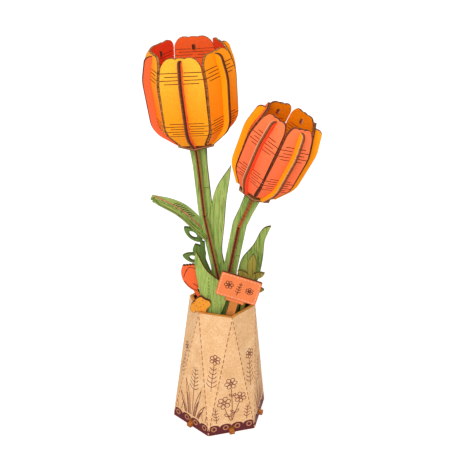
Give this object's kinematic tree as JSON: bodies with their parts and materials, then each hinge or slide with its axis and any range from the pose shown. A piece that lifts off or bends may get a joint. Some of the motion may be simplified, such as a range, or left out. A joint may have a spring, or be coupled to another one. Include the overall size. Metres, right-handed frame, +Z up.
{
  "type": "wooden tulip bouquet",
  "caption": "Wooden tulips on slotted stems with leaves and a card, standing in a folded hexagonal vase.",
  "frame": {"origin": "centre of the vase's foot, on the surface it stands on", "axes": "+Z up, -Y towards the front, +X to the right as seen from the front"},
  "size_m": [0.1012, 0.0618, 0.2461],
  "materials": {
    "kraft_ply": "bare laser-cut plywood",
    "bare_ply": "bare laser-cut plywood",
    "stem_green_ply": "printed plywood, matt, with burnt cut edges",
    "leaf_green_ply": "printed plywood, matt, with burnt cut edges",
    "dark_green_ply": "printed plywood, matt, with burnt cut edges",
    "olive_ply": "printed plywood, matt, with burnt cut edges",
    "coral_ply": "printed plywood, matt, with burnt cut edges",
    "orange_ply": "printed plywood, matt, with burnt cut edges",
    "card_ply": "printed plywood, matt, with burnt cut edges",
    "yellow_petal_ply": "printed plywood, matt, with burnt cut edges",
    "yellow_fin_ply": "printed plywood, matt, with burnt cut edges",
    "coral_petal_ply": "printed plywood, matt, with burnt cut edges",
    "coral_fin_ply": "printed plywood, matt, with burnt cut edges",
    "calyx_ply": "printed plywood, matt, with burnt cut edges"
  },
  "bodies": {
    "bouquet": {"vase_sleeve": "kraft_ply", "base_plate": "kraft_ply", "collar_plate": "bare_ply", "stem_board": "stem_green_ply", "cross_board": "bare_ply", "left_leaf": "leaf_green_ply", "front_leaf": "leaf_green_ply", "right_leaf": "leaf_green_ply", "dark_sprig": "dark_green_ply", "olive_sprig": "olive_ply", "tulip_bud": "coral_ply", "rim_piece": "orange_ply", "left_upper_rib": "stem_green_ply", "left_front_rib": "stem_green_ply", "left_back_rib": "stem_green_ply", "right_upper_rib": "stem_green_ply", "right_front_rib": "stem_green_ply", "right_back_rib": "stem_green_ply", "big_tulip_calyx_plate": "calyx_ply", "big_tulip_lower_calyx_plate": "calyx_ply", "big_tulip_petal_1": "yellow_petal_ply", "big_tulip_fin_1": "yellow_fin_ply", "big_tulip_petal_2": "yellow_petal_ply", "big_tulip_fin_2": "yellow_fin_ply", "big_tulip_petal_3": "yellow_petal_ply", "big_tulip_fin_3": "yellow_fin_ply", "big_tulip_petal_4": "yellow_petal_ply", "big_tulip_fin_4": "yellow_fin_ply", "big_tulip_petal_5": "yellow_petal_ply", "big_tulip_fin_5": "yellow_fin_ply", "big_tulip_petal_6": "yellow_petal_ply", "big_tulip_fin_6": "yellow_fin_ply", "small_tulip_calyx_plate": "calyx_ply", "small_tulip_lower_calyx_plate": "calyx_ply", "small_tulip_petal_1": "coral_petal_ply", "small_tulip_fin_1": "coral_fin_ply", "small_tulip_petal_2": "coral_petal_ply", "small_tulip_fin_2": "coral_fin_ply", "small_tulip_petal_3": "coral_petal_ply", "small_tulip_fin_3": "coral_fin_ply", "small_tulip_petal_4": "coral_petal_ply", "small_tulip_fin_4": "coral_fin_ply", "small_tulip_petal_5": "coral_petal_ply", "small_tulip_fin_5": "coral_fin_ply", "small_tulip_petal_6": "coral_petal_ply", "small_tulip_fin_6": "coral_fin_ply"},
    "card": {"card": "card_ply", "card_strip": "card_ply", "card_pick": "bare_ply"}
  },
  "joints": [
    {"name": "card_slide", "type": "slide", "parent": "bouquet", "child": "card", "axis": [0.2351, 0, 0.972], "range_m": [0, 0.035]}
  ]
}
